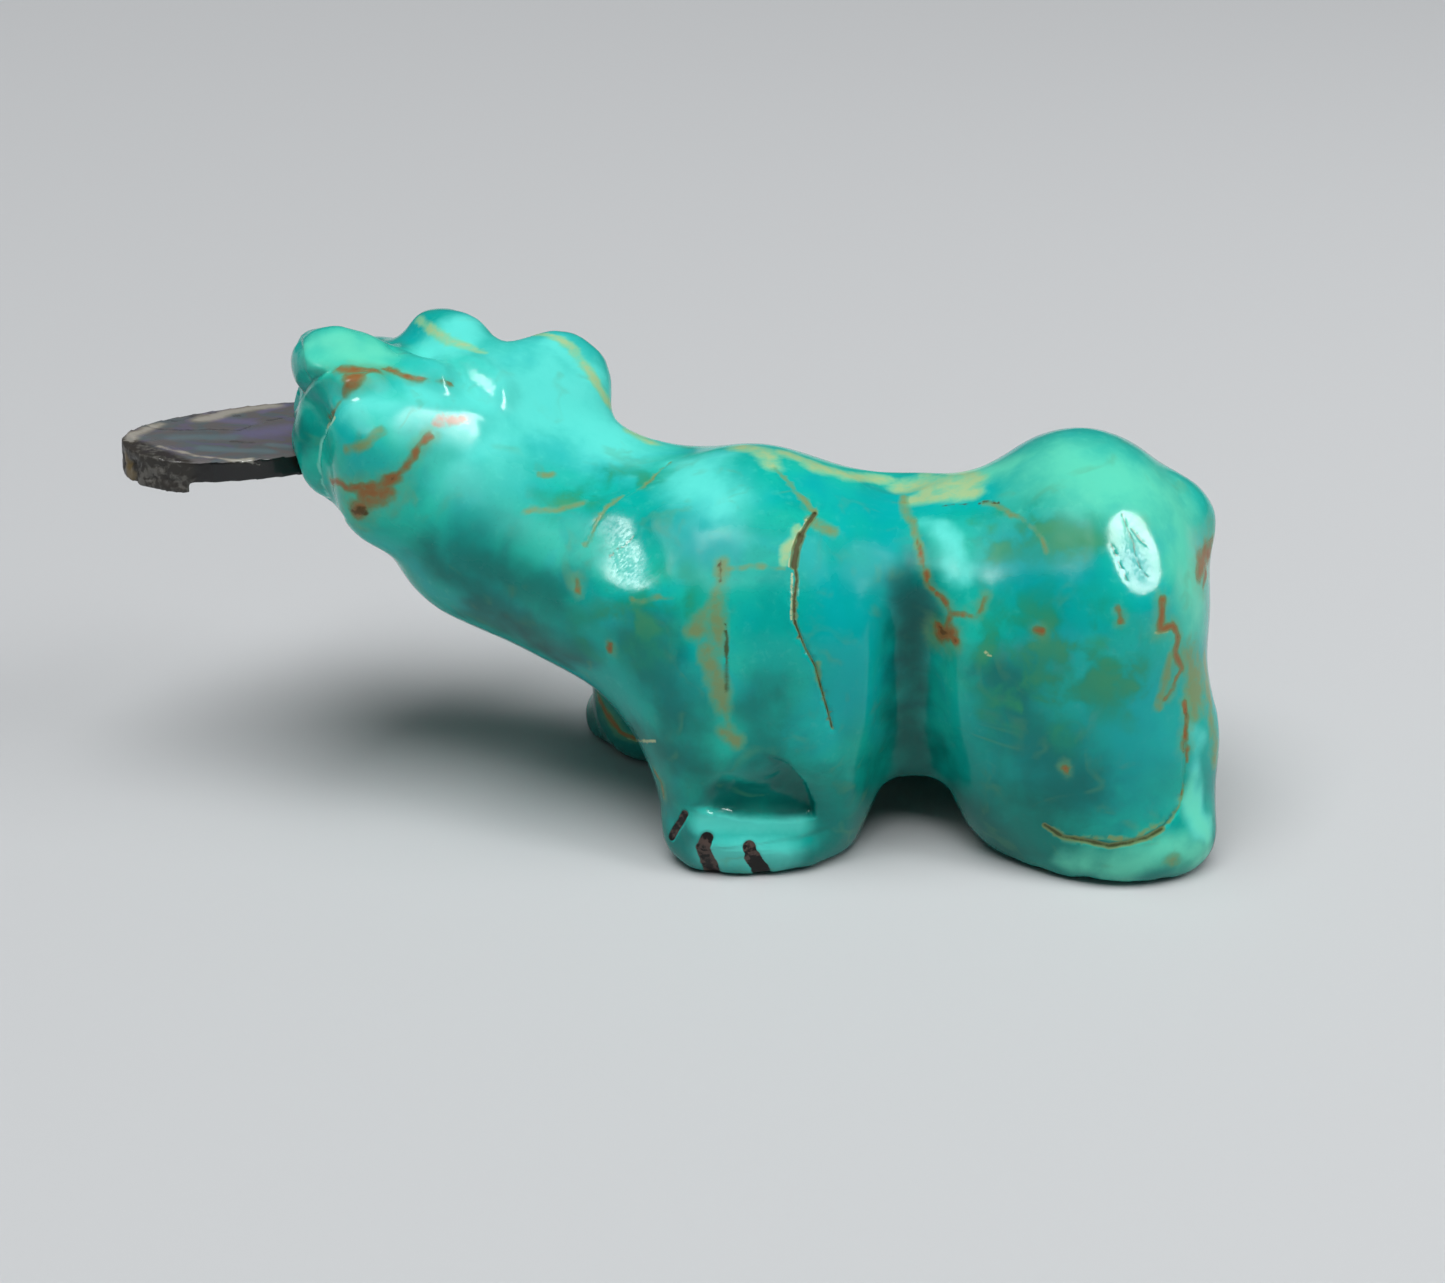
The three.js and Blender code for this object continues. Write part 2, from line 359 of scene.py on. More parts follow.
claws = [
    (4, (685, 814), (681, 822), (676, 829), (672, 837)),
    (6.5, (707, 838), (703, 848)),
    (7.5, (703, 848), (709, 862)),
    (8.5, (709, 862), (718, 882)),
    (6.5, (749, 847), (752, 856)),
    (8, (752, 856), (760, 868)),
    (9, (760, 868), (771, 886)),
]
fine_strokes = crack + haunch_seam + neck_seam + hair_cracks + claws
for band in (1.8, 1.3):
    near = nearness(places_of(stone.data), stone_surface, widened(fine_strokes, band))
    refine(stone.data, near > 0)
# How deep each goes, in millimetres, and how steep its sides are. The crack's top goes deeper.
for strokes, depth, steepness in (
    (crack, 0.15, 1.6),
    (crack[:2], 0.15, 1.6),
    (haunch_seam, 0.08, 1.3),
    (neck_seam, 0.04, 1),
    (hair_cracks, 0.02, 1),
    (claws, 0.1, 3),
):
    press(stone.data, stone_surface, strokes, depth * MM, steepness)

# The photograph doesn't show the face. Its eyes and nostrils are the plainest that there are:
# drilled dots, blackened as the claws are.
head_middle = Vector((-18.0, 2.5, 24.8)) * MM
head_turn = math.radians(52)
up = Vector((0, 0, 1))
ahead = Vector((-math.cos(head_turn), math.sin(head_turn), 0))
sideways = up.cross(ahead)
eye_ahead, eye_aside, eye_above = 7, 4.6, 5  # the way to an eye from the head's middle
nostril_aside, nostril_above = 1, 0.9  # in millimetres from the line straight ahead
eye_width, nostril_width = 1.0 * MM, 0.6 * MM
dot_depth = 0.15 * MM
far_off = 20 * MM  # well outside the head


def drilled(places, width, start, way):
    """How near each place is to a round hole, measured as nearness is."""
    centre = np.array(stone_surface.ray_cast(start, way)[0])
    return np.clip(1 - np.linalg.norm(places - centre, axis=1) / width, 0, 1)


def face_dots(places):
    near = np.zeros(len(places))
    for side in (-1, 1):
        eye_way = ahead * eye_ahead + sideways * side * eye_aside + up * eye_above
        eye_way.normalize()
        dot = drilled(places, eye_width, head_middle + eye_way * far_off, -eye_way)
        near = np.maximum(near, dot)
        nostril = (sideways * side * nostril_aside + up * nostril_above) * MM
        start = head_middle + ahead * far_off + nostril
        near = np.maximum(near, drilled(places, nostril_width, start, -ahead))
    return near


for _ in range(2):
    refine(stone.data, face_dots(places_of(stone.data)) > 0)
dots = face_dots(places_of(stone.data))
sink(stone.data, np.clip(dots * 3 - 1, 0, 1) * dot_depth)

# The solid's slot is a little wider than the fish. Here its walls meet the fish, as with glue.
slot_gap = 0.03 * MM  # left between stone and shell
slot_hold = 0.4 * MM  # a wall as near as this is drawn in fully
slot_fade = 0.75 * MM  # and one as far as this isn't


def close_slot(mesh, held):
    """Draws the walls of the slot in on what it holds."""
    for vertex in mesh.vertices:
        nearest, _, _, gap = held.find_nearest(vertex.co, slot_fade)
        if nearest is None or gap <= slot_gap:
            continue
        share = min(1, (slot_fade - gap) / (slot_fade - slot_hold))
        vertex.co += (nearest - vertex.co) * share * (gap - slot_gap) / gap
    mesh.update()


close_slot(stone.data, surface_of(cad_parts["fish"].data))

# No place lies outside the solids' box, so nothing dips below the ground
give_places(stone.data, np.clip(places_of(stone.data), *solid_box))

# The stone's marks, drawn over the photograph in the same way: the matrix in its veins, stains
# beside them, clouds of other blues and greens, painted shade and painted light, and places where
# the polish is duller
marks = {
    # brown matrix in the open veins
    "rust": [
        (4, (940, 626), (955, 640)),
        (5, (337, 370), (376, 370)),
        (6, (348, 377), (358, 377)),
        (4, (350, 384), (345, 394)),
        (2.6, (344, 394), (337, 406), (330, 418)),
        (2.4, (378, 369), (392, 370), (408, 374), (421, 378)),
        (1.6, (421, 378), (436, 380), (450, 384)),
        (3.2, (331, 480), (347, 487), (360, 487), (385, 485)),
        (5, (385, 485), (397, 478)),
        (3, (397, 478), (411, 460), (421, 446), (434, 436)),
        (8, (362, 494), (384, 492)),
        (7, (370, 504), (380, 499)),
        (8, (355, 510), (362, 507)),
        (3, (578, 580), (580, 590)),
        (6, (600, 700), (607, 715)),
        (5, (607, 715), (613, 726)),
        (2.4, (613, 726), (622, 736), (634, 739)),
        (2.4, (655, 770), (662, 783), (664, 798)),
        (2, (612, 644), (612, 652)),
        (1.7, (916, 540), (922, 560), (928, 583), (940, 595)),
        (2.4, (940, 595), (951, 611), (974, 617), (983, 598)),
        (7, (941, 633), (951, 631)),
        (6, (350, 380), (353, 384)),
        (2.6, (951, 615), (948, 624)),
        (4, (1034, 633), (1040, 634)),
        (4.2, (1163, 600), (1163, 610), (1158, 628)),
        (3.6, (1157, 632), (1171, 629), (1177, 641), (1176, 655), (1181, 669)),
        (2.4, (1179, 672), (1173, 687), (1167, 697)),
        (3.2, (1183, 702), (1186, 722), (1184, 750)),
        (1.8, (1184, 750), (1184, 770), (1182, 795)),
        (9, (1200, 560), (1210, 548)),
        (7, (1199, 574), (1204, 560)),
        (4, (1203, 586), (1206, 572)),
        (2.6, (1064, 766), (1067, 770)),
        (2.6, (1119, 606), (1121, 620)),
    ],
    # dark closed veins
    "dark": [
        (5, (350, 508), (366, 512)),
        (2, (725, 622), (728, 650), (727, 690)),
        (3, (722, 558), (723, 578)),
        (2.4, (940, 507), (965, 504), (983, 502), (1002, 504)),
    ],
    # green stains
    "moss": [
        (5, (1000, 508), (1018, 514), (1030, 528), (1040, 545)),
        (4, (968, 520), (990, 525), (1010, 522)),
        (6, (1054, 549), (1090, 547)),
        (4, (990, 573), (1008, 577)),
        (9, (1098, 650), (1126, 652)),
        (4, (1038, 640), (1052, 665)),
        (5, (1002, 703), (1026, 716)),
    ],
    # broad patches of small green blotches
    "mottled": [
        (44, (1000, 660), (1050, 640), (1110, 670)),
        (40, (1010, 700), (1060, 700)),
        (24, (980, 540), (1100, 540)),
        (26, (1130, 660), (1150, 700)),
        (30, (600, 640), (680, 600)),
        (22, (560, 500), (640, 480)),
    ],
    # olive matrix in shallow veins
    "olive": [
        (4, (345, 449), (365, 446), (383, 432)),
        (2.4, (536, 474), (554, 474)),
        (3, (526, 510), (545, 512), (560, 510), (583, 503)),
        (1.8, (670, 462), (642, 487), (616, 501), (603, 513), (592, 530), (585, 545)),
        (2.2, (631, 596), (640, 601), (655, 599), (670, 600)),
        (6, (724, 562), (724, 580)),
        (3, (730, 568), (755, 566), (785, 568)),
        (8, (720, 590), (716, 608)),
        (8, (708, 614), (694, 630)),
        (8, (718, 620), (717, 650)),
        (8, (707, 650), (716, 680)),
        (8, (718, 680), (722, 706)),
        (4, (724, 706), (728, 725)),
        (8, (726, 730), (736, 740)),
        (2.4, (776, 470), (788, 482), (803, 500), (814, 515)),
        (5, (814, 524), (832, 532)),
        (4, (905, 498), (908, 515), (918, 545)),
        (2.4, (985, 503), (1006, 509), (1022, 519), (1034, 534), (1044, 551)),
        (14, (1188, 655), (1200, 700)),
        (8, (1205, 660), (1216, 760)),
        (8, (1190, 690), (1196, 715)),
        (5, (1170, 660), (1160, 705)),
        (1.8, (1055, 829), (1070, 835), (1100, 840), (1140, 836), (1160, 824)),
        (1.6, (1160, 831), (1171, 820), (1179, 808), (1184, 790)),
        (3, (818, 666), (824, 704)),
        (5, (1170, 858), (1176, 862)),
    ],
    # pale matrix along the back and over the head
    "straw": [
        (4, (419, 318), (430, 330), (449, 341), (483, 351)),
        (4, (531, 335), (545, 335), (560, 340), (573, 347), (584, 363), (597, 382), (611, 405)),
        (7, (632, 432), (650, 442)),
        (9, (738, 447), (760, 449)),
        (8, (760, 450), (774, 466)),
        (8, (780, 452), (812, 464)),
        (9, (812, 466), (845, 475)),
        (7, (845, 477), (885, 479)),
        (12, (905, 488), (930, 482)),
        (16, (935, 482), (965, 484)),
        (10, (952, 466), (975, 480)),
        (4, (797, 530), (788, 548), (785, 562)),
        (8, (915, 500), (975, 492)),
        (7, (925, 474), (926, 496)),
        (6, (950, 472), (953, 495)),
        (5, (974, 476), (970, 488)),
    ],
    # pale edges of cracks and chips, and a painted glint on the collar's edge
    "cream": [
        (1.6, (807, 520), (794, 542), (789, 566)),
        (1.2, (792, 574), (792, 600), (791, 620)),
        (1.6, (1155, 633), (1168, 631)),
        (1.8, (628, 738), (640, 741), (655, 741)),
        (2.4, (334, 418), (328, 428)),
        (1.4, (985, 653), (990, 655)),
    ],
    # a faint red stain on the cheek
    "blush": [(6, (442, 421), (462, 420)), (3, (436, 424), (446, 430))],
    # a painted glint along the collar's edge
    "rim": [
        (1.6, (333, 420), (327, 430), (321, 446), (319, 465), (323, 485), (332, 503), (346, 519)),
    ],
    # clouds of bluer stone
    "bluer": [
        (46, (1135, 700), (1130, 780)),
        (30, (1010, 560), (1040, 590)),
        (26, (1030, 650), (1070, 640)),
        (26, (830, 495), (895, 510)),
        (26, (880, 540), (896, 600)),
        (34, (855, 590), (850, 690)),
        (26, (700, 510), (700, 545)),
        (26, (590, 455), (610, 470)),
        (18, (1080, 560), (1090, 580)),
        (20, (1030, 760), (1100, 800)),
    ],
    # deeper stone, and painted shade in the groove before the haunch, under the neck and in the
    # hollows
    "deeper_stone_and_shade": [
        (34, (480, 560), (560, 600)),
        (24, (430, 560), (520, 620)),
        (26, (520, 625), (570, 650)),
        (13, (297, 420), (304, 440)),
        (14, (740, 806), (800, 812)),
        (28, (762, 700), (780, 750)),
        (34, (650, 640), (680, 720)),
        (24, (908, 580), (912, 770)),
        (26, (765, 780), (800, 800)),
        (16, (722, 784), (790, 790)),
        (36, (1010, 690), (1060, 780)),
        (24, (960, 800), (1010, 850)),
        (20, (640, 740), (700, 760)),
    ],
    # the darkest painted shade, in the groove, the hollow over the paw and under the neck
    "darkest_painted_shade": [
        (26, (908, 600), (912, 700), (914, 800)),
        (18, (730, 788), (786, 796)),
        (15, (470, 610), (560, 655)),
    ],
    # clouds of paler stone, and painted light on lit tops, on the haunch's left and down its right
    # edge
    "paler_stone_and_light": [
        (60, (480, 410), (550, 390), (600, 430)),
        (30, (690, 470), (720, 500)),
        (24, (440, 350), (470, 330)),
        (26, (360, 400), (440, 400)),
        (20, (560, 345), (590, 380)),
        (11, (936, 532), (956, 566)),
        (12, (1196, 740), (1198, 830)),
    ],
    # painted light on the top and front of the near paw
    "painted_paw_sheen": [(12, (704, 823), (798, 823)), (20, (716, 856), (780, 853))],
    # clouds of greener stone, and painted light on the rump's top and right side and along the back
    "greener_stone_and_light": [
        (50, (1060, 465), (1150, 490)),
        (34, (1180, 510), (1195, 600)),
        (16, (840, 462), (900, 470)),
        (20, (322, 344), (372, 350)),
        (26, (960, 470), (1010, 470)),
        (19, (1080, 866), (1190, 858)),
        (12, (1192, 790), (1204, 850)),
    ],
    # worn places without a high polish
    "matt": [
        (40, (410, 470), (470, 500), (560, 545)),
        (24, (925, 545), (1070, 540)),
        (20, (318, 350), (370, 352)),
        (16, (676, 522), (686, 564)),
        (10, (352, 415), (362, 424)),
        (9, (374, 380), (384, 388)),
        (24, (720, 560), (800, 560)),
        (20, (862, 566), (892, 572)),
    ],
    # facets that still show the marks of the wheel
    "brushed": [(30, (604, 532), (630, 566)), (15, (1128, 536), (1142, 572))],
    "claws": claws,
}
marks["crack"] = widened(crack[:3], 1.2) + widened(crack[3:], 0.65)
marks["hair"] = widened(hair_cracks, 0.8)
marks["seam"] = haunch_seam[:1]
marks["halo"] = widened(marks["rust"], 2.4, 1)

# A mark strays from its stroke, in waves of these lengths and heights. Clouds, stains and painted
# shade roam further than the rest. Cuts, edges and the painted light on the paw stay where they are.
wander = ((1.9 * MM, 0.3 * MM), (0.7 * MM, 0.12 * MM), (0.3 * MM, 0.07 * MM))
roaming = ((3.0 * MM, 1.2 * MM), (1.1 * MM, 0.5 * MM))
roaming_marks = ("moss", "mottled", "bluer", "deeper_stone_and_shade", "darkest_painted_shade", "paler_stone_and_light", "greener_stone_and_light")
steady_marks = ("crack", "claws", "cream", "rim", "hair", "seam", "painted_paw_sheen")
noise.seed_set(5)  # without a seed the marks would stray in another way on each run


def strayed(places, waves):
    """The places shifted a little, smoothly and at random, so that a straight stroke wavers."""
    shifts = np.zeros(places.shape)
    for size, amount in waves:
        shifts += [noise.noise_vector(Vector(place) / size) * amount for place in places]
    return places + shifts


def keep_mark(mesh, name, values):
    attribute = mesh.attributes.new(name, "FLOAT", "POINT")
    attribute.data.foreach_set("value", values.astype(np.float32))


# The net is made finer along thin marks, so that they don't break up into beads
thin_width = 5  # in pixels, to either side
thin_marks = marks["cream"] + [s for s in marks["rust"] + marks["olive"] if s[0] < thin_width]
stone_surface = surface_of(stone.data)
near = nearness(places_of(stone.data), stone_surface, widened(thin_marks, 1, 1))
refine(stone.data, near > 0)
stone_places = places_of(stone.data)
stone_strayed = strayed(stone_places, wander)
stone_roaming = strayed(stone_places, roaming)
for name, strokes in marks.items():
    if name in steady_marks:
        places = stone_places
    elif name in roaming_marks:
        places = stone_roaming
    else:
        places = stone_strayed
    keep_mark(stone.data, name, nearness(places, stone_surface, strokes))
keep_mark(stone.data, "dots", face_dots(stone_places))

# Sides that the photograph doesn't show have plainer veins of the same matrix
stone_normals = normals_of(stone.data)
facing_photo = stone_normals @ -np.array(onward)
keep_mark(stone.data, "unseen", np.clip(0.4 - facing_photo * 2.5, 0, 1))

# Painted shade: low down the stone is darker, and most of all where it faces the ground
low_from, low_fade = 13 * MM, 10 * MM
low = np.clip((low_from - stone_places[:, 2]) / low_fade, 0, 1)
keep_mark(stone.data, "low", low * np.clip(0.9 - stone_normals[:, 2] * 1.5, 0, 1))


def paint(red, green, blue):
    """A colour as the eye names it, from 0 to 255, in the linear light of a shader."""
    shares = (c / 255 for c in (red, green, blue))
    linear = [c / 12.92 if c <= 0.04045 else ((c + 0.055) / 1.055) ** 2.4 for c in shares]
    return (*linear, 1)


class Finish:
    """A material whose colour is laid on in coats, one over another."""

    def __init__(self, name, first_coat):
        self.material = bpy.data.materials.new(name)
        self.material.use_nodes = True
        self.tree = self.material.node_tree
        self.shader = self.tree.nodes["Principled BSDF"]
        self.place = self.node("ShaderNodeTexCoord").outputs["Object"]
        self.colour = paint(*first_coat)

    def node(self, kind, inputs=(), **settings):
        node = self.tree.nodes.new(kind)
        for name, value in settings.items():
            setattr(node, name, value)
        for key, value in dict(inputs).items():
            if isinstance(value, bpy.types.NodeSocket):
                self.tree.links.new(value, node.inputs[key])
            else:
                node.inputs[key].default_value = value
        return node

    def cloud(self, size, detail=3, twist=0, place=None):
        """A cloudy pattern with lumps of about this size."""
        place = place or self.place
        inputs = {"Vector": place, "Scale": 1 / size, "Detail": detail, "Distortion": twist}
        return self.node("ShaderNodeTexNoise", inputs).outputs[0]

    def stretched(self, turn, stretch):
        """The place on the piece, squeezed along its own X after a turn, so that a pattern laid
        over it runs in streaks."""
        inputs = {"Vector": self.place, "Rotation": turn}
        turned = self.node("ShaderNodeMapping", inputs).outputs[0]
        inputs = {"Vector": turned, "Scale": (1 / stretch, 1, 1)}
        return self.node("ShaderNodeMapping", inputs).outputs[0]

    def mark(self, name):
        return self.node("ShaderNodeAttribute", attribute_name=name).outputs["Fac"]

    def maths(self, operation, *values):
        return self.node("ShaderNodeMath", enumerate(values), operation=operation).outputs[0]

    def rise(self, value, low, high, top=1.0):
        """0 where the value is below low, rising smoothly to top where it is above high."""
        inputs = {"Value": value, "From Min": low, "From Max": high, "To Max": top}
        return self.node("ShaderNodeMapRange", inputs, interpolation_type="SMOOTHSTEP").outputs[0]

    def ragged(self, value, pattern, amount):
        """A mark that a pattern, with its middle at a half, thickens here and thins there."""
        swing = self.maths("MULTIPLY_ADD", pattern, amount, 1 - amount / 2)
        return self.maths("MULTIPLY", value, swing)

    def coat(self, tint, share):
        """Lays a colour over what is there, by a share."""
        tint = tint if isinstance(tint, bpy.types.NodeSocket) else paint(*tint)
        inputs = {0: share, 6: self.colour, 7: tint}
        self.colour = self.node("ShaderNodeMix", inputs, data_type="RGBA").outputs[2]

    def set(self, name, value):
        if isinstance(value, bpy.types.NodeSocket):
            self.tree.links.new(value, self.shader.inputs[name])
        else:
            self.shader.inputs[name].default_value = value

    def put_on(self, piece):
        self.set("Base Color", self.colour)
        piece.data.materials.clear()
        piece.data.materials.append(self.material)


# The stone's patterns, from broad clouds down to grit
turquoise = Finish("turquoise", (4, 176, 164))
broad = turquoise.cloud(10 * MM, 2, 0.4)
middling = turquoise.cloud(2.6 * MM, 4, 0.6)
other = turquoise.cloud(4.4 * MM, 3, 0.6)
small = turquoise.cloud(0.6 * MM, 4, 0.3)
grit = turquoise.cloud(0.18 * MM, 3)


def stained(name, by_middling, by_small, *coats):
    """Lays coats along a mark that two of the stone's clouds vary, by these amounts, and gives
    that mark back. A coat is its colour, the strengths of the mark at which it starts and is full,
    and its share when full."""
    edge = turquoise.mark(name)
    for pattern, amount in ((middling, by_middling), (small, by_small)):
        if amount:
            edge = turquoise.ragged(edge, pattern, amount)
    for tint, start, full, share in coats:
        turquoise.coat(tint, turquoise.rise(edge, start, full, share))
    return edge


# The clouds that run through all of the stone, and those that are drawn as marks, with painted
# shade and painted light among them
for tint, pattern, start, full, share in (
    ((30, 200, 176), broad, 0.4, 0.68, 0.8),
    ((0, 156, 148), middling, 0.44, 0.76, 0.6),
    ((0, 182, 184), other, 0.46, 0.74, 0.6),
    ((92, 218, 198), small, 0.52, 0.84, 0.22),
    ((0, 120, 110), grit, 0.56, 0.8, 0.2),
):
    turquoise.coat(tint, turquoise.rise(pattern, start, full, share))
# Among these, painted shade darkens the groove, the hollows, the underside of the neck and the low
# parts, and painted light brightens lit tops, the right side and the near paw
for name, tint, share in (
    ("bluer", (0, 172, 174), 0.75),
    ("deeper_stone_and_shade", (0, 104, 98), 0.75),
    ("darkest_painted_shade", (0, 66, 62), 0.6),
    ("low", (0, 100, 92), 0.75),
    ("paler_stone_and_light", (104, 238, 226), 0.85),
    ("greener_stone_and_light", (106, 228, 194), 0.8),
    ("painted_paw_sheen", (96, 226, 212), 0.75),
):
    stained(name, 0.8, 0.3, (tint, 0.05, 0.95, share))


def contour(pattern, level, width):
    """1 along the line where a pattern has this level, fading to 0 beside it."""
    off = turquoise.maths("ABSOLUTE", turquoise.maths("SUBTRACT", pattern, level))
    return turquoise.maths("SUBTRACT", 1.0, turquoise.rise(off, 0.0, width))


# Faint green-brown wisps run through all of the stone, and veins through its unseen sides
wisp = contour(turquoise.cloud(5.5 * MM, 3, 0.8), 0.5, 0.05)
wisp = turquoise.maths("MULTIPLY", wisp, turquoise.rise(middling, 0.5, 0.66))
turquoise.coat((96, 158, 108), turquoise.maths("MULTIPLY", wisp, 0.25))
vein = contour(turquoise.cloud(13 * MM, 4, 1.1), 0.52, 0.03)
vein = turquoise.maths("MULTIPLY", vein, turquoise.mark("unseen"))
vein = turquoise.maths("MULTIPLY", vein, turquoise.rise(broad, 0.4, 0.55))
turquoise.coat((150, 158, 96), turquoise.rise(vein, 0.1, 0.6, 0.7))
turquoise.coat((150, 84, 36), turquoise.rise(vein, 0.75, 0.95, 0.8))

# Stains and matrix, and over them the cracks and seams
stained("moss", 2.0, 1.2, ((44, 156, 108), 0.08, 0.9, 0.8))
blotches = turquoise.cloud(2.2 * MM, 7, 0.2)
edge = turquoise.maths("MULTIPLY", turquoise.mark("mottled"), turquoise.rise(blotches, 0.32, 0.62))
turquoise.coat((28, 152, 118), turquoise.rise(edge, 0.05, 0.8, 0.8))
turquoise.coat((84, 156, 92), turquoise.rise(edge, 0.45, 1.0, 0.4))
stained("straw", 1.8, 1.4, ((132, 212, 164), 0.04, 0.5, 0.7), ((180, 202, 142), 0.3, 1.0, 0.75))
stained("olive", 1.6, 1.8, ((96, 164, 122), 0.06, 0.5, 0.65), ((134, 146, 90), 0.3, 1.0, 0.75))
stained("cream", 0, 1.6, ((206, 212, 160), 0.35, 0.7, 0.8))
stained("blush", 1.2, 1.6, ((206, 132, 104), 0.3, 0.9, 0.8))
stained("halo", 2.4, 1.2, ((112, 168, 118), 0.15, 0.95, 0.5))
edge = stained("rust", 1.8, 1.2, ((112, 130, 80), 0.1, 0.5, 0.8))
rusty = turquoise.rise(edge, 0.32, 0.85, 0.9)
turquoise.coat((150, 96, 50), turquoise.maths("MULTIPLY", rusty, turquoise.rise(other, 0.2, 0.45)))
turquoise.coat((84, 54, 24), turquoise.rise(edge, 0.9, 1.15, 0.7))
# a painted glint along the collar's edge
stained("rim", 0, 0, ((140, 232, 214), 0.3, 0.8, 0.7))
stained("dark", 0, 2.4, ((74, 58, 20), 0.4, 0.8, 0.85))
open_crack = stained(
    "crack", 0, 1.0, ((122, 138, 84), 0.1, 0.5, 0.75), ((80, 70, 34), 0.48, 0.8, 0.9)
)
stained("hair", 0, 0, ((70, 96, 62), 0.2, 0.8, 0.7))
stained("seam", 0, 1.2, ((122, 132, 72), 0.1, 0.5, 0.8), ((60, 62, 30), 0.5, 0.9, 0.8))

# The claws, eyes and nostrils are blackened, and the black is worn here and there
edge = turquoise.maths("MAXIMUM", stained("claws", 0, 0.4), turquoise.mark("dots"))
inked = turquoise.rise(edge, 0.45, 0.53)
turquoise.coat((20, 16, 14), inked)
worn = turquoise.rise(turquoise.ragged(other, small, 1.6), 0.56, 0.68, 0.5)
turquoise.coat((112, 92, 84), turquoise.maths("MULTIPLY", inked, worn))

# The polish is high, with fine scuffs all one way, and duller in cracks and on worn places
scuff_way = turquoise.stretched(turn=(0, math.radians(55), 0), stretch=14)
scuffs = turquoise.cloud(0.12 * MM, 2, 0, scuff_way)
brushed = turquoise.maths("MULTIPLY", turquoise.mark("brushed"), scuffs)
dull = turquoise.maths("MULTIPLY", inked, 0.3)
for value, start, full, dullest in (
    (brushed, 0.15, 0.6, 0.26),
    (open_crack, 0.2, 0.6, 0.5),
    (turquoise.mark("rust"), 0.3, 0.7, 0.2),
    (turquoise.mark("matt"), 0.0, 0.8, 0.42),
):
    dull = turquoise.maths("MAXIMUM", dull, turquoise.rise(value, start, full, dullest))
polish = turquoise.maths("MULTIPLY_ADD", turquoise.rise(small, 0.3, 0.8), 0.08, 0.12)
turquoise.set("Roughness", turquoise.maths("ADD", dull, polish))
turquoise.set("Specular IOR Level", 0.24)
relief = turquoise.maths("MULTIPLY_ADD", small, 0.3, middling)
relief = turquoise.maths("MULTIPLY_ADD", scuffs, 0.14, relief)
bump = {"Height": relief, "Strength": 0.3, "Distance": 0.05 * MM}
turquoise.set("Normal", turquoise.node("ShaderNodeBump", bump).outputs[0])
turquoise.put_on(stone)

stone.data.polygons.foreach_set("use_smooth", [True] * len(stone.data.polygons))
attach(stone, "root")
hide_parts("bear")

# The fish is sawn from a thin slab of dark iridescent shell and polished, with the rough outside of
# the shell left on its blunt end. It is let into a slot in the jaws and glued.
shell_net = 0.15 * MM
layer_depth = 0.05 * MM
rough_length, crumb_depth = 2.2 * MM, 0.3 * MM
coarse_crumb, fine_crumb = 0.6 * MM, 0.25 * MM
fish = fine_copy("fish", "shell_fish", shell_net, rounding=0, ironing=2)
fish_surface = surface_of(fish.data)
fish_places = places_of(fish.data)

# Only the upper side shows the shell's colours: the sawn edge and the underside, where the surface
# faces sideways or down, are painted near black as shade
level = normals_of(fish.data)[:, 2]
keep_mark(fish.data, "edge", np.clip(1.3 - level * 1.8, 0, 1))

# How far each place is from the blunt end, which is the one towards the photograph's left
middle = fish_places.mean(0)
lengthwise = np.linalg.svd(fish_places - middle, full_matrices=False)[2][0]
lengthwise *= np.sign(lengthwise[0])
along = (fish_places - middle) @ lengthwise
along -= along.min()

# The layers of the shell show as lines and as bands of other colours, and painted highlights run
# along its rims
shell_marks = {
    "layers": [
        (1.3, (140, 424), (160, 429), (180, 430), (210, 429), (240, 430), (255, 423), (290, 416)),
        (1.3, (150, 418), (175, 421), (200, 415), (215, 412)),
    ],
    "lavender": [
        (9, (215, 419), (250, 422)),
        (14, (250, 434), (290, 428)),
        (5, (262, 412), (285, 405)),
    ],
    "sea": [(8, (178, 437), (232, 437)), (7, (205, 448), (270, 452)), (5, (270, 445), (290, 447))],
    "painted_rim_highlight": [
        (2.6, (160, 446), (185, 452), (205, 457), (240, 461), (268, 465)),
        (8, (200, 420), (225, 413), (250, 408), (272, 406)),
        (6, (127, 440), (134, 435), (146, 429), (160, 425)),
    ],
    "spot": [(3.5, (233, 441), (250, 442)), (2.4, (236, 416), (242, 416))],
    "amber": [(7, (127, 460), (131, 472))],
}
fish_strayed = strayed(fish_places, wander)
for name, strokes in shell_marks.items():
    keep_mark(fish.data, name, nearness(fish_strayed, fish_surface, strokes))
press(fish.data, fish_surface, shell_marks["layers"], layer_depth)

# The blunt end is crumbly
rough_end = np.clip(1.2 - along / rough_length, 0, 1)
keep_mark(fish.data, "rough", rough_end)
crumbs = np.array([noise.noise(Vector(place) / coarse_crumb) for place in fish_places])
crumbs += np.array([noise.noise(Vector(place) / fine_crumb) for place in fish_places]) * 0.5
sink(fish.data, rough_end * np.clip(crumbs, 0, 1) * crumb_depth)

shell = Finish("shell", (104, 100, 100))
bands = shell.cloud(3.2 * MM, 3, 1.5)
grains = shell.cloud(0.4 * MM, 4, 0.4)
shell.coat((84, 106, 112), shell.rise(bands, 0.46, 0.62, 0.5))
shell.coat((104, 96, 128), shell.rise(shell.cloud(2.4 * MM, 2, 1.2), 0.5, 0.66, 0.5))
for name, tint, share in (
    ("lavender", (114, 108, 140), 0.75),
    ("sea", (104, 126, 132), 0.65),
    ("painted_rim_highlight", (176, 168, 150), 0.8),
    ("spot", (76, 72, 70), 0.8),
    ("layers", (58, 56, 62), 0.8),
):
    edge = shell.ragged(shell.mark(name), grains, 0.7)
    shell.coat(tint, shell.rise(edge, 0.02, 0.9, share))
# painted shade on the sawn edge and the underside
shell.coat((8, 9, 9), shell.rise(shell.ragged(shell.mark("edge"), grains, 0.4), 0.35, 0.7, 0.95))

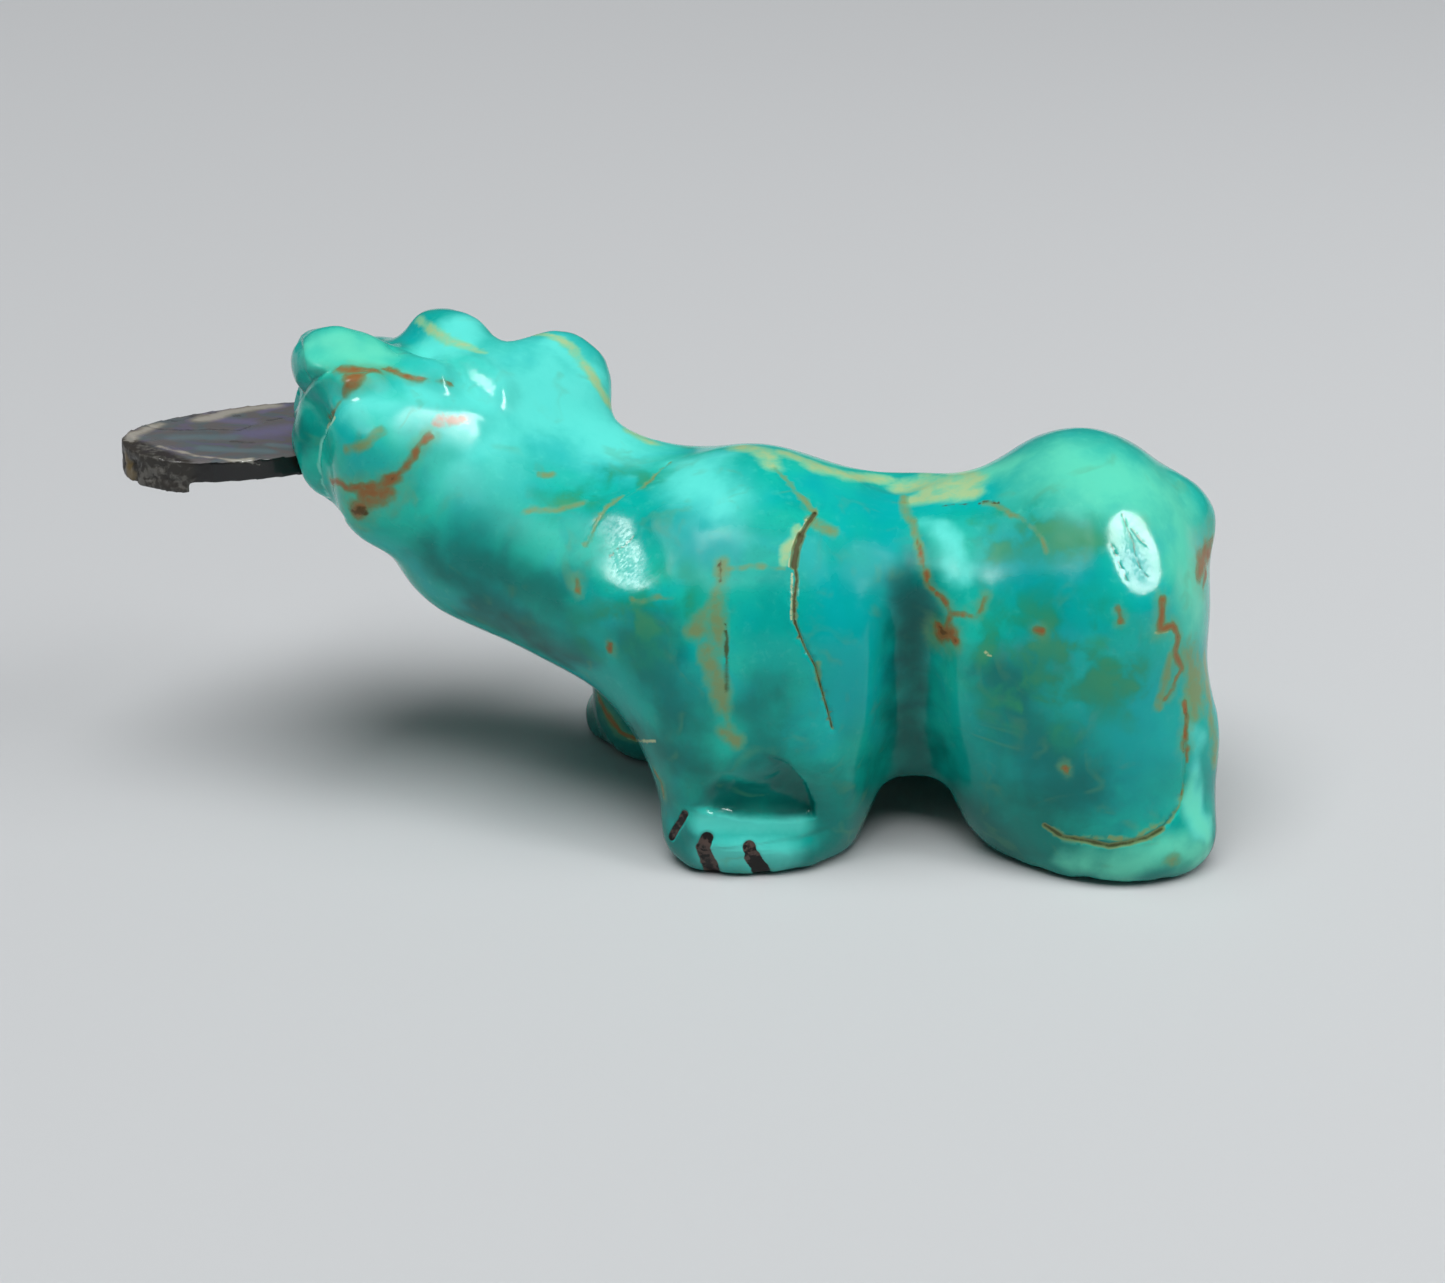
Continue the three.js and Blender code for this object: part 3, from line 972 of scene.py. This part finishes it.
# The blunt end is brown and flecked with grey, and amber in one place
rough = shell.rise(shell.ragged(shell.mark("rough"), grains, 0.4), 0.3, 0.6)
shell.coat((42, 38, 32), shell.maths("MULTIPLY", rough, 0.9))
flecks = shell.rise(shell.ragged(bands, grains, 1.6), 0.46, 0.7, 0.6)
shell.coat((112, 110, 104), shell.maths("MULTIPLY", rough, flecks))
shell.coat((112, 96, 62), shell.rise(shell.mark("amber"), 0.2, 0.7, 0.8))
# painted highlights along the rims
painted_rim_highlight = shell.ragged(shell.mark("painted_rim_highlight"), grains, 0.7)
shell.coat((168, 164, 156), shell.rise(painted_rim_highlight, 0.5, 0.8, 0.7))
shell.set("Roughness", shell.maths("MULTIPLY_ADD", shell.mark("rough"), 0.3, 0.25))
shell.set("Specular IOR Level", 0.35)
shell.set("Coat Weight", 0.2)
shell.set("Coat Roughness", 0.15)
shell.put_on(fish)

fish.data.polygons.foreach_set("use_smooth", [True] * len(fish.data.polygons))
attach(fish, "root")
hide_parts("fish")

# The floor is a plain pale sheet, laid flat. The light comes from soft boxes in a dim studio: a
# large one overhead, and small ones nearer that fill the shade or shine in the polish.
floor_reach = 12  # in metres, to each side
floor_shape = bmesh.new()
bmesh.ops.create_grid(floor_shape, x_segments=1, y_segments=1, size=floor_reach)
floor_mesh = bpy.data.meshes.new("floor")
floor_shape.to_mesh(floor_mesh)
floor_shape.free()
floor = bpy.data.objects.new("floor", floor_mesh)
bpy.context.scene.collection.objects.link(floor)
paper = Finish("paper", (200, 202, 204))
paper.set("Roughness", 0.7)
paper.put_on(floor)


def soft_box(name, way, distance, width, depth, power, lights=True, mirrored=True):
    """A soft light that faces the bear. It can be left out of the light on the piece, or out of
    what its polish mirrors."""
    light = bpy.data.lights.new(name, "AREA")
    light.shape = "RECTANGLE"
    light.size = width
    light.size_y = depth
    light.energy = power
    lamp = bpy.data.objects.new(name, light)
    lamp.visible_diffuse = lights
    lamp.visible_glossy = mirrored
    lamp.location = towards(*way) * distance
    lamp.rotation_euler = towards(*way).to_track_quat("Z", "Y").to_euler()
    bpy.context.scene.collection.objects.link(lamp)


soft_box("sky", (-20, 76), distance=5, width=4.7, depth=3.1, power=264, mirrored=False)
soft_box("fill", (75, 40), distance=0.45, width=0.2, depth=0.2, power=0.5, mirrored=False)
soft_box("key", key_way, distance=0.45, width=0.13, depth=0.13, power=1.8, lights=False)
soft_box("side", side_way, distance=0.45, width=0.09, depth=0.13, power=1.2, lights=False)
studio = bpy.data.worlds.new("studio")
bpy.context.scene.world = studio
studio.use_nodes = True
backdrop = studio.node_tree.nodes["Background"]
backdrop.inputs["Color"].default_value = paint(205, 210, 214)
backdrop.inputs["Strength"].default_value = 0.1
bpy.context.scene.view_settings.view_transform = "Standard"
